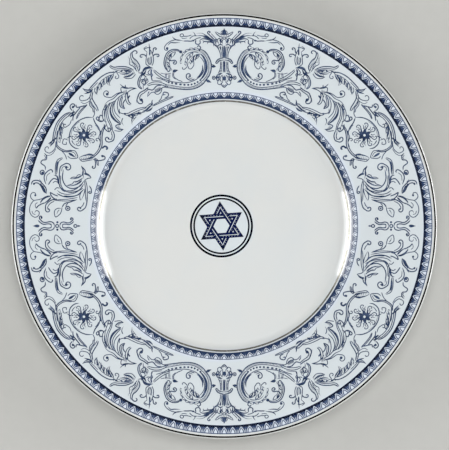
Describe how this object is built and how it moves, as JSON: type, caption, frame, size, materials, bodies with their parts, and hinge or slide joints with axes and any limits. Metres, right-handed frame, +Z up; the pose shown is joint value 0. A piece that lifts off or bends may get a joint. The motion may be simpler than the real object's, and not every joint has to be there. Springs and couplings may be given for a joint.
{
  "type": "salad plate",
  "caption": "Round glazed salad plate with a shallow well, a wide printed scrollwork rim between egg borders, fine metal lines, a star badge and a dry foot ring.",
  "frame": {"origin": "middle of the foot ring's resting plane", "axes": "+Z up along the plate's axis, +Y towards the top of the rim's design, +X to its right"},
  "size_m": [0.216, 0.216, 0.0191],
  "materials": {
    "clay": "dry fired clay, pale buff, seen only on the foot's edge",
    "glaze": "clear glossy glaze over white clay, faintly blue on the rim",
    "gilt": "worn dark gold line, semi-gloss",
    "border_ink": "mid-blue printed colour under gloss",
    "stripe_ink": "dark navy printed colour under gloss",
    "scroll_ink": "grey-blue printed line work under gloss",
    "badge_ink": "dark navy printed colour under gloss"
  },
  "bodies": {
    "root": {"plate_body": "clay", "face_glaze": "glaze", "back_glaze": "glaze", "recess_glaze": "glaze", "edge_line": "gilt", "outer_border": "border_ink", "outer_stripe": "stripe_ink", "axis_palmettes": "scroll_ink", "ring_scrolls": "scroll_ink", "clasps": "scroll_ink", "outer_acanthus": "scroll_ink", "acanthus_plumes": "scroll_ink", "tendrils": "scroll_ink", "rosettes": "scroll_ink", "rosette_leaves": "scroll_ink", "side_plumes": "scroll_ink", "side_fleurons": "scroll_ink", "inner_border": "border_ink", "inner_stripe": "stripe_ink", "verge_line": "gilt", "badge_outer_ring": "badge_ink", "badge_inner_ring": "badge_ink", "star_upright": "badge_ink", "star_inverted": "badge_ink"}
  },
  "joints": []
}
